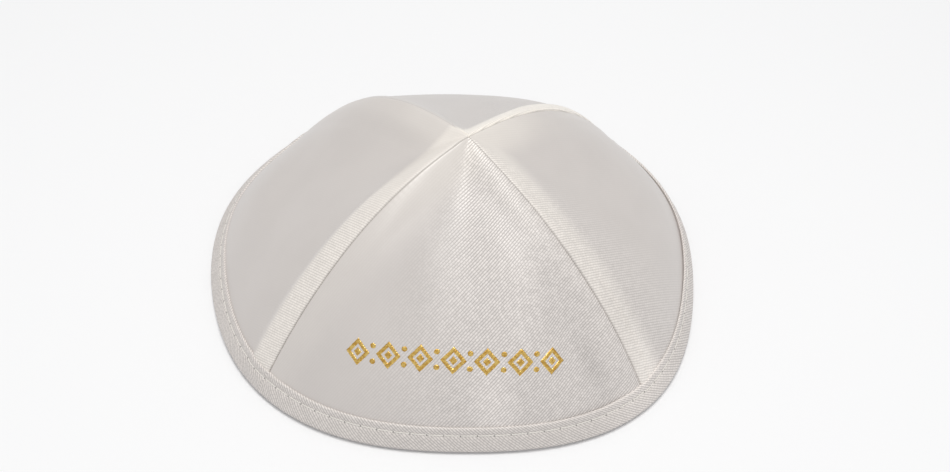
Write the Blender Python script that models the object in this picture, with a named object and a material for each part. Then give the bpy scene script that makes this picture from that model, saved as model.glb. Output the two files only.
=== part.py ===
"""Four-panel satin skullcap standing on its rim: a front, right, back and left panel of stiff cloth,
sewn together along four creased seams, with their lower edges held in a folded tape binding.
Metres, +Z up, the front panel towards -Y. The origin is under the middle of the cap, on the floor."""
from collections import namedtuple
import math

import bmesh
import bpy
import numpy as np

# Cap
RIM_RADIUS = 0.0935        # mean plan radius of the cloth where it ends in the binding
CROWN_HEIGHT = 0.0725      # top of the cloth above the floor
CROWN_ACROSS = 0.0040      # how far the crown point lies to the right of the rim's centre
CROWN_FORWARD = 0.0090     # how far the crown point lies in front of the rim's centre
CROWN_HOLE = 0.0010        # radius of the pin hole where the four panel tips meet

# Cloth panels
CLOTH = 0.0012             # wall of a panel, which is satin on a stiff backing
SEAM_GAP = 0.0003          # between two panels along their seam
STRIP_WIDTH = 0.0090       # seam allowance, pressed flat under a panel's edge
STRIP_FALL = 0.0025        # soft outer edge of that allowance
STRIP_RISE = 0.0008        # what the thick allowance adds over the panel
FOLD_RISE = 0.0012         # height of a soft fold in a panel

# Binding
BINDING_HEIGHT = 0.0090    # from the floor to its upper edge, along the slope of the wall
BINDING_WALL = 0.0010      # folded tape, on each side of the cloth and under it
BINDING_GAP = 0.0003       # between the tape and the cloth
BINDING_ROUND = 0.0006     # broken edge along the fold

# Facets
PANEL_COLUMNS = 14         # between a panel's two seam strips
PANEL_ROWS = 18            # from the crown down to the binding
BAND_ROWS = 2              # inside the binding
BINDING_COLUMNS = 20       # along each panel

# Profiles from the crown point down to the rim. Shares, chosen by eye: rim is of RIM_RADIUS,
# crown_out and shoulder_in are of the plan radius there, crown_drop and shoulder_up of the height.
Profile = namedtuple("Profile", "name rim crown_out crown_drop shoulder_in shoulder_up")
SEAMS = (
    Profile("front_left", 1.04, 0.41, 0.05, 0.25, 0.55),
    Profile("front_right", 1.07, 0.45, 0.19, 0.24, 0.52),
    Profile("back_right", 0.97, 0.37, 0.11, 0.24, 0.57),
    Profile("back_left", 0.97, 0.49, 0.05, 0.32, 0.62),
)
PANELS = (
    Profile("front", 0.98, 0.28, 0.22, 0.13, 0.47),
    Profile("right", 0.99, 0.26, 0.23, 0.13, 0.45),
    Profile("back", 0.96, 0.27, 0.23, 0.19, 0.39),
    Profile("left", 1.01, 0.29, 0.21, 0.22, 0.40),
)

# Seam allowances as each panel shows them along its first and its second seam, shares of STRIP_RISE
Strips = namedtuple("Strips", "first second")
STRIPS = {
    "front": Strips(0.4, 0.4),
    "right": Strips(1.0, 0.4),
    "back": Strips(1.0, 0.4),
    "left": Strips(1.0, 1.0),
}

# Soft folds. top, middle and low are places across the panel, -1 at its first seam and 1 at its
# second. start and end are shares of the way down, width is a share of RIM_RADIUS, rise of FOLD_RISE.
Fold = namedtuple("Fold", "panel top middle low start end width rise")
FOLDS = (
    Fold("front", 0.40, 0.62, 0.24, 0.12, 0.90, 0.16, 1.0),
    Fold("front", 0.80, 0.78, 0.88, 0.20, 0.92, 0.11, -1.0),
    Fold("front", -0.62, -0.76, -0.70, 0.25, 0.75, 0.14, 0.6),
    Fold("front", 0.00, 0.10, 0.15, 0.05, 0.32, 0.10, -0.5),
    Fold("right", -0.30, -0.45, -0.55, 0.15, 0.80, 0.20, -0.5),
    Fold("left", 0.20, 0.30, 0.45, 0.20, 0.85, 0.25, 0.5),
    Fold("back", -0.30, -0.25, -0.30, 0.20, 0.85, 0.25, 0.5),
)

PANEL_ANGLE = 360 / len(PANELS)
FIRST_SEAM = -90 - PANEL_ANGLE / 2           # degrees round from +X, so that the front panel faces -Y
EDGE_HEIGHT = BINDING_WALL + BINDING_GAP     # cut edge of the cloth above the floor
STRIP_SHARE = 0.8                # most of a half panel that a strip takes near the crown
RELIEF_FADE = 0.06               # share of the way down in which strips and folds flatten above the binding
CROWN_ZONE = 0.15                # share of the way down in which the tips' walls turn upright
SLOPE_STEP = 1e-4                # share of a panel over which a slope is read
SLOPE_COUNT = 200                # steps in which a length up the slope is read


def smooth(t):
    t = np.clip(t, 0, 1)
    return t * t * (3 - 2 * t)


def bezier(u, first, second, third, last):
    return (1 - u)**3 * first + 3 * (1 - u)**2 * u * second + 3 * (1 - u) * u**2 * third + u**3 * last


def dome(panel, across, u):
    """Points of the plain outer face of the cloth, across a panel and from the crown (0) to its edge (1).
    The crease along a seam fades towards the rim, where the plan is a rounded square."""
    one, other, middle = SEAMS[panel], SEAMS[(panel + 1) % len(SEAMS)], PANELS[panel]
    blend = smooth((across + 1) / 2)
    bulge = np.clip(np.cos(math.pi / 2 * across), 0, 1)

    def share(column, power):
        seam = getattr(one, column) * (1 - blend) + getattr(other, column) * blend
        weight = bulge**power
        return seam * (1 - weight) + getattr(middle, column) * weight

    fade = 1 + u**2
    out = bezier(u, 0, share("crown_out", fade), 1 - share("shoulder_in", fade), 1)
    up = bezier(u, 1, 1 - share("crown_drop", fade), share("shoulder_up", fade), 0)
    angle = np.radians(FIRST_SEAM + PANEL_ANGLE * (panel + (across + 1) / 2))
    radius = RIM_RADIUS * share("rim", 2) * out
    x = CROWN_ACROSS * (1 - out) + radius * np.cos(angle)
    y = -CROWN_FORWARD * (1 - out) + radius * np.sin(angle)
    z = EDGE_HEIGHT + (CROWN_HEIGHT - EDGE_HEIGHT) * up
    return np.stack((x, y, z), -1)


def seam_side(panel, second):
    """Level unit vector square to the upright plane of one of a panel's seams, pointing into the panel."""
    start, end = dome(panel, np.full(2, 1.0 if second else -1.0), np.array((0.0, 1.0)))
    way = (end - start) / np.linalg.norm((end - start)[:2])
    return np.array((way[1], -way[0], 0)) if second else np.array((-way[1], way[0], 0))


def unit(vectors):
    return vectors / np.linalg.norm(vectors, axis=-1, keepdims=True)


def faces_of(panel, across, u):
    """Points of the dome with their outward unit normals and their unit tangents up the slope.
    At a seam both lie in its upright plane, so the edges of two panels stay parallel, and the normals
    turn upright towards the crown, so that the four tips stay clear of each other."""
    point = dome(panel, across, u)
    low = np.clip(u - SLOPE_STEP, 0, 1)
    high = np.clip(u + SLOPE_STEP, 0, 1)
    rise = unit(dome(panel, across, low) - dome(panel, across, high))
    left = np.clip(across - SLOPE_STEP, -1, 1)
    right = np.clip(across + SLOPE_STEP, -1, 1)
    round_way = unit(dome(panel, right, u) - dome(panel, left, u))
    square = smooth(u / CROWN_ZONE)[..., None]
    normal = unit(unit(np.cross(round_way, rise)) * square + np.array((0, 0, 1)) * (1 - square))
    for second, edge in ((False, -1), (True, 1)):
        side = seam_side(panel, second)
        flat = unit(normal - (normal @ side)[..., None] * side)
        normal = np.where((across == edge)[..., None], flat, normal)
    return point, normal, rise


def down_to(panel, across, height):
    """How far down (0 to 1) the wall stands a given length above its edge, measured up the slope."""
    steps = np.linspace(1, 0, SLOPE_COUNT + 1)
    found = []
    for place in across:
        points = dome(panel, np.full_like(steps, place), steps)
        run = np.cumsum(np.linalg.norm(np.diff(points, axis=0), axis=1))
        found.append(np.interp(height, run, steps[1:]))
    return np.array(found)


def strip_end(panel, u, width):
    """How far in from a seam a strip of this width reaches, as a share of half the panel. The plan
    radius grows about evenly on the way down."""
    radius = RIM_RADIUS * PANELS[panel].rim * u
    half_panel = math.radians(PANEL_ANGLE / 2)
    most = math.sin(half_panel * STRIP_SHARE)
    return np.arcsin(np.minimum(width / radius, most)) / half_panel


def strip_rise(panel, across, u):
    """What the pressed seam allowances add along both edges of a panel."""
    outer = strip_end(panel, u, STRIP_WIDTH)
    inner = outer * (1 - STRIP_FALL / STRIP_WIDTH)
    strips = STRIPS[PANELS[panel].name]
    height = 0
    for share, distance in ((strips.first, 1 + across), (strips.second, 1 - across)):
        height = np.maximum(height, share * smooth((outer - distance) / (outer - inner)))
    return STRIP_RISE * height


def fold_rise(panel, across, u):
    """What the soft folds add to a panel, or take from it."""
    height = np.zeros(np.broadcast(across, u).shape)
    for fold in FOLDS:
        if fold.panel != PANELS[panel].name:
            continue
        along = np.clip((u - fold.start) / (fold.end - fold.start), 0, 1)
        line = bezier(along, fold.top, fold.middle, fold.middle, fold.low)
        half = math.radians(PANEL_ANGLE / 2) * RIM_RADIUS * u
        away = np.clip((across - line) * half / (fold.width * RIM_RADIUS), -1, 1)
        height += fold.rise * np.cos(math.pi / 2 * away)**2 * np.sin(math.pi * along)**2
    return FOLD_RISE * height


def material(name, colour, roughness):
    made = bpy.data.materials.new(name)
    made.use_nodes = True
    shader = made.node_tree.nodes["Principled BSDF"]
    shader.inputs["Base Color"].default_value = (*colour, 1)
    shader.inputs["Roughness"].default_value = roughness
    shader.inputs["Metallic"].default_value = 0
    return made


def add_object(name, bm, finish):
    bmesh.ops.recalc_face_normals(bm, faces=bm.faces)
    mesh = bpy.data.meshes.new(name)
    bm.to_mesh(mesh)
    bm.free()
    mesh.shade_smooth()
    mesh.set_sharp_from_angle(angle=math.radians(40))
    mesh.materials.append(finish)
    made = bpy.data.objects.new(name, mesh)
    bpy.context.scene.collection.objects.link(made)
    return made


def panel_places(panel):
    """Places of a panel's facets across it and down it, and how far down the binding covers it."""
    first_slope = 3 * PANELS[panel].crown_out     # of a cubic curve, away from its first point
    start = CROWN_HOLE / (first_slope * PANELS[panel].rim * RIM_RADIUS)
    above = np.linspace(0, 1, PANEL_ROWS + 1)
    inside = np.linspace(0, 1, BAND_ROWS + 1)[1:]
    across = []
    for guide in (*(start + (1 - start) * above), *np.ones(BAND_ROWS)):
        outer = strip_end(panel, guide, STRIP_WIDTH)
        inner = outer * (1 - STRIP_FALL / STRIP_WIDTH)
        strip = np.array((0, inner / 2, inner))
        field = np.linspace(outer - 1, 1 - outer, PANEL_COLUMNS + 1)
        across.append(np.concatenate((strip - 1, field, 1 - strip[::-1])))
    across = np.array(across)
    covered = np.array([down_to(panel, row, BINDING_HEIGHT) for row in across])
    down = np.concatenate((above, np.ones(BAND_ROWS)))[:, None]
    further = np.concatenate((np.zeros(PANEL_ROWS + 1), inside))[:, None]
    u = start + (covered - start) * down + (1 - covered) * further
    return across, u, covered


def build_panel(panel):
    """One gore of the cap: a grid over its outer face, extruded through the cloth to its inner face."""
    across, u, covered = panel_places(panel)
    point, normal, rise = faces_of(panel, across, u)
    shown = smooth((covered - u) / RELIEF_FADE)
    folded = point + normal * (shown * fold_rise(panel, across, u))[..., None]
    outer = folded + normal * (shown * strip_rise(panel, across, u))[..., None]
    inner = folded - normal * CLOTH
    # The lower edge is cut level, and both sides stand half a gap away from their seams
    inner[-1] += rise[-1] * (CLOTH * normal[-1, :, 2] / rise[-1, :, 2])[:, None]
    for column, second in ((0, False), (-1, True)):
        for face in (outer, inner):
            face[:, column] += seam_side(panel, second) * SEAM_GAP / 2

    rows, columns = u.shape
    bm = bmesh.new()
    bmesh.ops.create_grid(bm, x_segments=columns - 1, y_segments=rows - 1, size=1)
    through = bm.verts.layers.float_vector.new("through")
    for vert, place, end in zip(bm.verts, outer.reshape(-1, 3), inner.reshape(-1, 3)):
        vert.co = place
        vert[through] = end - place
    moved = bmesh.ops.extrude_face_region(bm, geom=bm.faces[:])["geom"]
    for item in moved:
        if isinstance(item, bmesh.types.BMVert):
            item.co += item[through]
    return bm


def build_binding():
    """The tape ring: one folded section, a U that holds the cloth's edge, carried round the rim."""
    bm = bmesh.new()
    sections = []
    room = CLOTH + BINDING_GAP
    for panel in range(len(PANELS)):
        across = np.linspace(-1, 1, BINDING_COLUMNS + 1)[:-1]
        top = down_to(panel, across, BINDING_HEIGHT)
        shares = np.linspace(0, 1, BAND_ROWS + 1)
        *rows, edge = [faces_of(panel, across, top + (1 - top) * share) for share in shares]

        def wall(offset):
            return [point + normal * offset for point, normal, rise in rows]

        def floor(offset, height):
            point, normal, rise = edge
            place = point + normal * offset
            return [place + rise * ((height - place[:, 2]) / rise[:, 2])[:, None]]

        outside, inside = BINDING_GAP + BINDING_WALL, -room - BINDING_WALL
        section = [
            *wall(outside), *floor(outside, BINDING_ROUND), *floor(outside - BINDING_ROUND, 0),
            *floor(inside + BINDING_ROUND, 0), *floor(inside, BINDING_ROUND), *reversed(wall(inside)),
            *wall(-room), *floor(-room, BINDING_WALL), *floor(BINDING_GAP, BINDING_WALL),
            *reversed(wall(BINDING_GAP)),
        ]
        for places in np.array(section).swapaxes(0, 1):
            sections.append([bm.verts.new(place) for place in places])
    for one, other in zip(sections, sections[1:] + sections[:1]):
        for i in range(len(one)):
            bm.faces.new((one[i - 1], one[i], other[i], other[i - 1]))
    return bm


def level_centre(bm):
    """Middle of an object's plan box."""
    places = np.array([vert.co for vert in bm.verts])
    return (places.min(0) + places.max(0)) / 2 * (1, 1, 0)


def main():
    for old in list(bpy.data.objects):
        bpy.data.objects.remove(old)
    binding = build_binding()
    centre = level_centre(binding)
    made = [add_object("rim_binding", binding, material("binding_satin", (0.58, 0.55, 0.52), 0.45))]
    for panel, profile in enumerate(PANELS):
        finish = material(f"{profile.name}_satin", (0.64, 0.61, 0.58), 0.4)
        made.append(add_object(f"panel_{profile.name}", build_panel(panel), finish))
    for piece in made:
        piece.location = -centre


main()
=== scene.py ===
"""Dresses the white satin skullcap: four gores with pressed seams, a folded binding with its
topstitching, and a row of gold foil ornaments, on a pale floor in soft studio light."""
from collections import namedtuple
import math

import bmesh
import bpy
import numpy as np
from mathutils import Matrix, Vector


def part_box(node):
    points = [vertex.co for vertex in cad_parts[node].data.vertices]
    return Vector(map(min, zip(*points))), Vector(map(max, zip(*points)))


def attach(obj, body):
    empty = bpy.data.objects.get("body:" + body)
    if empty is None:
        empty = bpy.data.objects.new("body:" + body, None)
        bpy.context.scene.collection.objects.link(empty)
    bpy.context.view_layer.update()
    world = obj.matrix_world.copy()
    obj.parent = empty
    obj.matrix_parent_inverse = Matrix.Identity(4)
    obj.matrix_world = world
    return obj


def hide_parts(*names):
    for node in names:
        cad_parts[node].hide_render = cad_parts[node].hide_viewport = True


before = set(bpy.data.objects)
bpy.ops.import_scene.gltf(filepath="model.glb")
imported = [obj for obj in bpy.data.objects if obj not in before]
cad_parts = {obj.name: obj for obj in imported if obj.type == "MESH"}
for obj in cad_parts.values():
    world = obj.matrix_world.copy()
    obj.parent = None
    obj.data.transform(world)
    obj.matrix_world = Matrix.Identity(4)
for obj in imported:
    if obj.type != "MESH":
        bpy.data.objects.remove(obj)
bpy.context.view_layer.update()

# Gores
# Four gores of white satin on a stiff backing, sewn edge to edge, with fine ribs that run aslant. The
# seam allowances are pressed to one side and show as flat raised strips along the seams.
RIM_RADIUS = 0.0935
CROWN_HEIGHT = 0.0725
CROWN_ACROSS = 0.0040
CROWN_FORWARD = 0.0090
CLOTH = 0.0012
EDGE_HEIGHT = 0.0013

# The profile from crown to edge, over each seam and down the middle of each gore, as shares of the
# rim's radius and of the crown's height
Profile = namedtuple("Profile", "name rim crown_out crown_drop shoulder_in shoulder_up")
SEAMS = (
    Profile("front_left", 1.04, 0.41, 0.05, 0.25, 0.55),
    Profile("front_right", 1.07, 0.45, 0.19, 0.24, 0.52),
    Profile("back_right", 0.97, 0.37, 0.11, 0.24, 0.57),
    Profile("back_left", 0.97, 0.49, 0.05, 0.32, 0.62),
)
GORES = (
    Profile("front", 0.98, 0.28, 0.22, 0.13, 0.47),
    Profile("right", 0.99, 0.26, 0.23, 0.13, 0.45),
    Profile("back", 0.96, 0.27, 0.23, 0.19, 0.39),
    Profile("left", 1.01, 0.29, 0.21, 0.22, 0.40),
)
GORE_ANGLE = 360 / len(GORES)
HALF_GORE = math.radians(GORE_ANGLE / 2)
FIRST_SEAM = -90 - GORE_ANGLE / 2

# Each gore's strips along its first and second seam: the share of the rise, the width, the soft fall at
# the outer edge, the share that runs on as a low base, and how deep and how far the cloth turns under
Strip = namedtuple("Strip", "share width fall base sink reach")
LOW_STRIP = Strip(0.4, 0.0090, 0.0045, 0.0, 0.0004, 0.0006)
STRIPS = {
    "front": (LOW_STRIP, Strip(0.6, 0.0100, 0.0060, 0.0, 0.0003, 0.0024)),
    "right": (Strip(1.0, 0.0054, 0.0022, 0.5, 0.0006, 0.0009), LOW_STRIP._replace(reach=0.0010)),
    "back": (Strip(1.0, 0.0090, 0.0025, 0.0, 0.0009, 0.0010), LOW_STRIP),
    "left": (Strip(1.0, 0.0130, 0.0090, 0.0, 0.0006, 0.0009),
             Strip(1.0, 0.0118, 0.0032, 0.0, 0.0006, 0.0009)),
}
STRIP_RISE = 0.0008
STRIP_PILLOW = 0.35
STRIP_BASE_WIDTH = 0.0150
STRIP_BASE_FALL = 0.0110
CROWN_FALL = 0.008
CROWN_FALL_REACH = 0.045
CROWN_FALL_ZONE = 0.030
INSIDE_SHARE = 0.3
SEAM_LAP = 0.00004

# Soft folds: where one lies across the gore at its top, middle and low end, from which share of the way
# down to which, how wide it is, and how high
Fold = namedtuple("Fold", "gore top middle low start end width rise")
FOLDS = (
    Fold("front", 0.40, 0.62, 0.24, 0.12, 0.90, 0.16, 1.0),
    Fold("front", 0.80, 0.78, 0.88, 0.20, 0.92, 0.11, -1.0),
    Fold("front", -0.62, -0.76, -0.70, 0.25, 0.75, 0.14, 0.6),
    Fold("front", 0.00, 0.10, 0.15, 0.05, 0.32, 0.10, -0.5),
    Fold("front", 0.68, 0.70, 0.76, 0.38, 1.00, 0.20, -1.6),
    Fold("right", -0.30, -0.45, -0.55, 0.15, 0.80, 0.20, -0.5),
    Fold("right", -0.80, -0.90, -0.94, 0.25, 1.25, 0.022, 0.35),
    Fold("left", 0.20, 0.30, 0.45, 0.20, 0.85, 0.25, 0.5),
    Fold("left", -0.25, -0.25, -0.20, 0.62, 1.00, 0.45, 1.3),
    Fold("back", -0.30, -0.25, -0.30, 0.20, 0.85, 0.25, 0.5),
)
FOLD_RISE = 0.0012

# The dimples of the seams' machine stitches: a depth for each seam, and slow waves (size, length, shift
# from seam to seam) that make their places and their depth uneven
PUCKER_LENGTH = 0.0024
PUCKER_DEPTHS = (0.00003, 0.00010, 0.00005, 0.00003)
PUCKER_REACH = 0.0022
PUCKER_DRIFTS = ((0.7, 0.0071, 1.0), (0.5, 0.0113, 2.1))
PUCKER_SWELL = (0.4, 0.017, 1.3)

GORE_ROWS = 220
EDGE_COLUMNS = 7
STRIP_COLUMNS = 28
FIELD_COLUMNS = 56
TURNED_ZONE = 0.0011
STRIP_ZONE = 0.0130
MOST_STRIP = 0.8
SLOPE_COLUMNS = 60
SLOPE_ROWS = 200
LEAST_LENGTH = 1e-6
WELD = 2e-6


def smooth(t):
    t = np.clip(t, 0, 1)
    return t * t * (3 - 2 * t)


def bezier(u, first, second, third, last):
    return (1 - u)**3 * first + 3 * (1 - u)**2 * u * second + 3 * (1 - u) * u**2 * third + u**3 * last


def unit(vectors):
    return vectors / np.linalg.norm(vectors, axis=-1, keepdims=True)


def dome(gore, across, u):
    """Plain outer face of a gore: across from -1 to 1 between its seams, u from the crown to the edge."""
    one, other, middle = SEAMS[gore], SEAMS[(gore + 1) % len(SEAMS)], GORES[gore]
    blend = smooth((across + 1) / 2)
    bulge = np.clip(np.cos(math.pi / 2 * across), 0, 1)

    def share(column, power):
        seam = getattr(one, column) * (1 - blend) + getattr(other, column) * blend
        weight = bulge**power
        return seam * (1 - weight) + getattr(middle, column) * weight

    fade = 1 + u**2
    out = bezier(u, 0, share("crown_out", fade), 1 - share("shoulder_in", fade), 1)
    up = bezier(u, 1, 1 - share("crown_drop", fade), share("shoulder_up", fade), 0)
    angle = np.radians(FIRST_SEAM + GORE_ANGLE * (gore + (across + 1) / 2))
    radius = RIM_RADIUS * share("rim", 2) * out
    x = CROWN_ACROSS * (1 - out) + radius * np.cos(angle)
    y = -CROWN_FORWARD * (1 - out) + radius * np.sin(angle)
    z = EDGE_HEIGHT + (CROWN_HEIGHT - EDGE_HEIGHT) * up
    return np.stack((x, y, z), -1)


def seam_side(gore, second):
    """Level unit vector square to the upright plane of one of a gore's seams, pointing into the gore."""
    start, end = dome(gore, np.full(2, 1.0 if second else -1.0), np.array((0.0, 1.0)))
    way = (end - start) / np.linalg.norm((end - start)[:2])
    return np.array((way[1], -way[0], 0)) if second else np.array((-way[1], way[0], 0))


def faces_of(gore, across, u):
    """Points of the dome with their outward unit normals, which two gores share along a seam."""
    step = 1e-4
    crown_zone = 0.10
    point = dome(gore, across, u)
    rise = unit(dome(gore, across, np.clip(u - step, 0, 1)) - dome(gore, across, np.clip(u + step, 0, 1)))
    along = unit(dome(gore, np.clip(across + step, -1, 1), np.maximum(u, step))
                 - dome(gore, np.clip(across - step, -1, 1), np.maximum(u, step)))
    square = smooth(u / crown_zone)[..., None]
    normal = unit(unit(np.cross(along, rise)) * square + np.array((0, 0, 1)) * (1 - square))
    for second, edge in ((False, -1), (True, 1)):
        side = seam_side(gore, second)
        flat = unit(normal - (normal @ side)[..., None] * side)
        normal = np.where((across == edge)[..., None], flat, normal)
    return point, normal


def crown_reach(point):
    """Level distance from the crown."""
    return np.hypot(point[..., 0] - CROWN_ACROSS, point[..., 1] + CROWN_FORWARD)


def seam_distances(gore, point):
    """Level distances from a gore's two seams."""
    crown = np.array((CROWN_ACROSS, -CROWN_FORWARD, 0))
    return [np.maximum((point - crown) @ seam_side(gore, second), 0) for second in (False, True)]


def strip_relief(gore, point):
    """What the pressed seam allowances add along both edges of a gore."""
    strips = STRIPS[GORES[gore].name]
    height = 0
    near_crown = smooth((CROWN_FALL_REACH - crown_reach(point)) / CROWN_FALL_ZONE)
    for strip, distance in zip(strips, seam_distances(gore, point)):
        pillow = 1 + STRIP_PILLOW * np.sin(math.pi * np.clip(distance / strip.width, 0, 1))
        fall = strip.fall + (CROWN_FALL - strip.fall) * near_crown
        height = np.maximum(height, strip.share * pillow * smooth((strip.width - distance) / fall))
        height = np.maximum(height, strip.base * smooth((STRIP_BASE_WIDTH - distance) / STRIP_BASE_FALL))
    return STRIP_RISE * height


def fold_relief(gore, across, u):
    """What the soft folds add to a gore, or take from it."""
    height = np.zeros(np.broadcast(across, u).shape)
    for fold in FOLDS:
        if fold.gore != GORES[gore].name:
            continue
        along = np.clip((u - fold.start) / (fold.end - fold.start), 0, 1)
        line = bezier(along, fold.top, fold.middle, fold.middle, fold.low)
        half = HALF_GORE * RIM_RADIUS * u
        away = np.clip((across - line) * half / (fold.width * RIM_RADIUS), -1, 1)
        height += fold.rise * np.cos(math.pi / 2 * away)**2 * np.sin(math.pi * along)**2
    return FOLD_RISE * height


def turned_edges(gore, point):
    """How far the cloth rolls under at its seams: round where it is turned, tight where it is tucked."""
    strips = STRIPS[GORES[gore].name]
    depth = 0
    for strip, distance in zip(strips, seam_distances(gore, point)):
        short = np.clip(1 - distance / strip.reach, 0, 1)
        depth = depth + strip.sink * (1 - np.sqrt(1 - short**2))
    return depth


def seam_puckers(gore, point, length):
    """Small uneven dimples that the machine stitches draw along both seams."""
    depth = 0
    swell, swell_length, swell_shift = PUCKER_SWELL
    for seam, distance in zip((gore, gore + 1), seam_distances(gore, point)):
        drift = sum(size * np.sin(length / long + shift * seam) for size, long, shift in PUCKER_DRIFTS)
        wave = 0.5 + 0.5 * np.cos(2 * math.pi * length / PUCKER_LENGTH + drift)
        strength = 1 - swell + swell * np.sin(length / swell_length + swell_shift * seam)
        drawn = PUCKER_DEPTHS[seam % len(SEAMS)]
        depth = depth + drawn * strength * wave * np.exp(-(distance / PUCKER_REACH)**2)
    return depth


def slope_table(gore):
    """Length down the slope from the crown over an even grid of places (across, then down)."""
    columns, rows = np.linspace(-1, 1, SLOPE_COLUMNS + 1), np.linspace(0, 1, SLOPE_ROWS + 1)
    across, u = np.meshgrid(columns, rows, indexing="ij")
    steps = np.linalg.norm(np.diff(dome(gore, across, u), axis=1), axis=2)
    return np.concatenate((np.zeros((len(columns), 1)), np.cumsum(steps, axis=1)), 1)


SLOPES = [slope_table(gore) for gore in range(len(GORES))]


def slope_length(gore, across, u):
    """Length down the slope from the crown to a place, read between the table's values."""
    table = SLOPES[gore]
    column, row = (across + 1) * SLOPE_COLUMNS / 2, u * SLOPE_ROWS
    i = np.clip(np.floor(column).astype(int), 0, SLOPE_COLUMNS - 1)
    j = np.clip(np.floor(row).astype(int), 0, SLOPE_ROWS - 1)
    right, down = column - i, row - j
    upper = table[i, j] * (1 - right) + table[i + 1, j] * right
    lower = table[i, j + 1] * (1 - right) + table[i + 1, j + 1] * right
    return upper * (1 - down) + lower * down


def flat_cloth(gore, across, u, point):
    """Where a place lay in the gore's flat cut: sideways from its middle line, and down from its tip."""
    length = slope_length(gore, across, u)
    narrowed = np.where(length > LEAST_LENGTH, crown_reach(point) / np.maximum(length, LEAST_LENGTH), 1)
    turn = across * HALF_GORE * narrowed
    return np.stack((length * np.sin(turn), -length * np.cos(turn)), -1)


def outer_face(gore, across, u):
    """Points of a gore's finished outer face with its unit normals, folds and strips included."""
    point, normal = faces_of(gore, across, u)
    relief = fold_relief(gore, across, u) + strip_relief(gore, point) - turned_edges(gore, point)
    relief = relief - seam_puckers(gore, point, slope_length(gore, across, u))
    return point + normal * relief[..., None], normal


def outline_centre():
    """Middle of the plan box of the cloth's edge, which lies over the frame's origin."""
    across = np.linspace(-1, 1, 201)
    edge = np.concatenate([dome(gore, across, np.ones_like(across)) for gore in range(len(GORES))])
    return (edge.min(0) + edge.max(0)) / 2 * (1, 1, 0)


low, high = (np.array(highlight_corner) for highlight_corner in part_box("rim_binding"))
TO_FRAME = (low + high) / 2 * (1, 1, 0) - outline_centre()


def in_scene(name, data):
    """A new object in the scene."""
    made = bpy.data.objects.new(name, data)
    bpy.context.scene.collection.objects.link(made)
    return made


def add_mesh(name, materials, points, faces, maps, finishes=None):
    """A smooth-shaded mesh object in the frame's own place, with its named maps of metres on the cloth."""
    mesh = bpy.data.meshes.new(name)
    mesh.from_pydata((points + TO_FRAME).tolist(), [], faces.tolist())
    corners = np.empty(len(mesh.loops), dtype=np.int32)
    mesh.loops.foreach_get("vertex_index", corners)
    for key, values in maps.items():
        mesh.uv_layers.new(name=key).data.foreach_set("uv", values[corners].astype(np.float32).ravel())
    if finishes is not None:
        mesh.polygons.foreach_set("material_index", finishes)
    bm = bmesh.new()
    bm.from_mesh(mesh)
    bmesh.ops.remove_doubles(bm, verts=bm.verts, dist=WELD)
    bmesh.ops.recalc_face_normals(bm, faces=bm.faces)
    bm.to_mesh(mesh)
    bm.free()
    mesh.shade_smooth()
    for material in materials:
        mesh.materials.append(material)
    return in_scene(name, mesh)


def grid_faces(rows, columns, start=0, closed=False):
    """Quads over a grid of points that are numbered row by row."""
    steps = columns if closed else columns - 1
    row, column = np.meshgrid(np.arange(rows - 1), np.arange(steps), indexing="ij")
    here = start + row * columns + column
    right = start + row * columns + (column + 1) % columns
    return np.stack((here, right, right + columns, here + columns), -1).reshape(-1, 4)


def wall_between(outer, inner):
    """Points and quads of a wall with these two faces, closed along its four sides."""
    rows, columns = outer.shape[:2]
    count = rows * columns
    number = np.arange(count).reshape(rows, columns)
    faces = [grid_faces(rows, columns), grid_faces(rows, columns, count)]
    for side in (number[0], number[-1], number[:, 0], number[:, -1]):
        faces.append(np.stack((side[:-1], side[1:], side[1:] + count, side[:-1] + count), -1))
    return np.concatenate((outer.reshape(-1, 3), inner.reshape(-1, 3))), np.concatenate(faces)


def gore_columns(gore, u):
    """Places across a gore, close together at its turned edges and along its strips."""
    least_radius = 1e-4
    radius = np.maximum(RIM_RADIUS * GORES[gore].rim * u, least_radius)

    def share(distance):
        sine = np.minimum(distance / radius, math.sin(HALF_GORE * MOST_STRIP))
        return np.minimum(np.arcsin(sine) / HALF_GORE, MOST_STRIP)

    turned, strip = share(TURNED_ZONE)[:, None], share(STRIP_ZONE)[:, None]
    turned = np.minimum(turned, strip / 3)
    edge = turned * np.linspace(0, 1, EDGE_COLUMNS)**2
    band = turned + (strip - turned) * np.linspace(0, 1, STRIP_COLUMNS + 1)[1:]
    field = -1 + strip + (2 - 2 * strip) * np.linspace(0, 1, FIELD_COLUMNS + 1)[1:-1]
    left = np.concatenate((edge, band), 1)
    return np.concatenate((left - 1, field, 1 - left[:, ::-1]), 1)


def build_gore(gore):
    """Points, quads, maps and finishes of a gore: satin on its outer face, the reverse on its inner one."""
    rows = np.linspace(0, 1, GORE_ROWS + 1)
    across = gore_columns(gore, rows)
    u = np.broadcast_to(rows[:, None], across.shape)
    point = dome(gore, across, u)
    outer, normal = outer_face(gore, across, u)
    inside = fold_relief(gore, across, u) - CLOTH - INSIDE_SHARE * strip_relief(gore, point)
    inner = point + normal * inside[..., None]
    for column, second in ((0, False), (-1, True)):
        for face in (outer, inner):
            face[:, column] -= seam_side(gore, second) * SEAM_LAP
    flat = flat_cloth(gore, across, u, point).reshape(-1, 2)
    seams = np.stack(seam_distances(gore, point), -1).reshape(-1, 2)
    points, faces = wall_between(outer, inner)
    maps = {"cloth": np.concatenate((flat, flat)), "seams": np.concatenate((seams, seams))}
    shown = GORE_ROWS * (across.shape[1] - 1)
    finishes = np.zeros(len(faces), dtype=np.int32)
    finishes[shown:2 * shown] = 1
    return points, faces, maps, finishes


def new_material(name):
    """A material's own name, its node tree and its Principled shader."""
    made = bpy.data.materials.new(name)
    made.use_nodes = True
    return made, made.node_tree, made.node_tree.nodes["Principled BSDF"]


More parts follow.
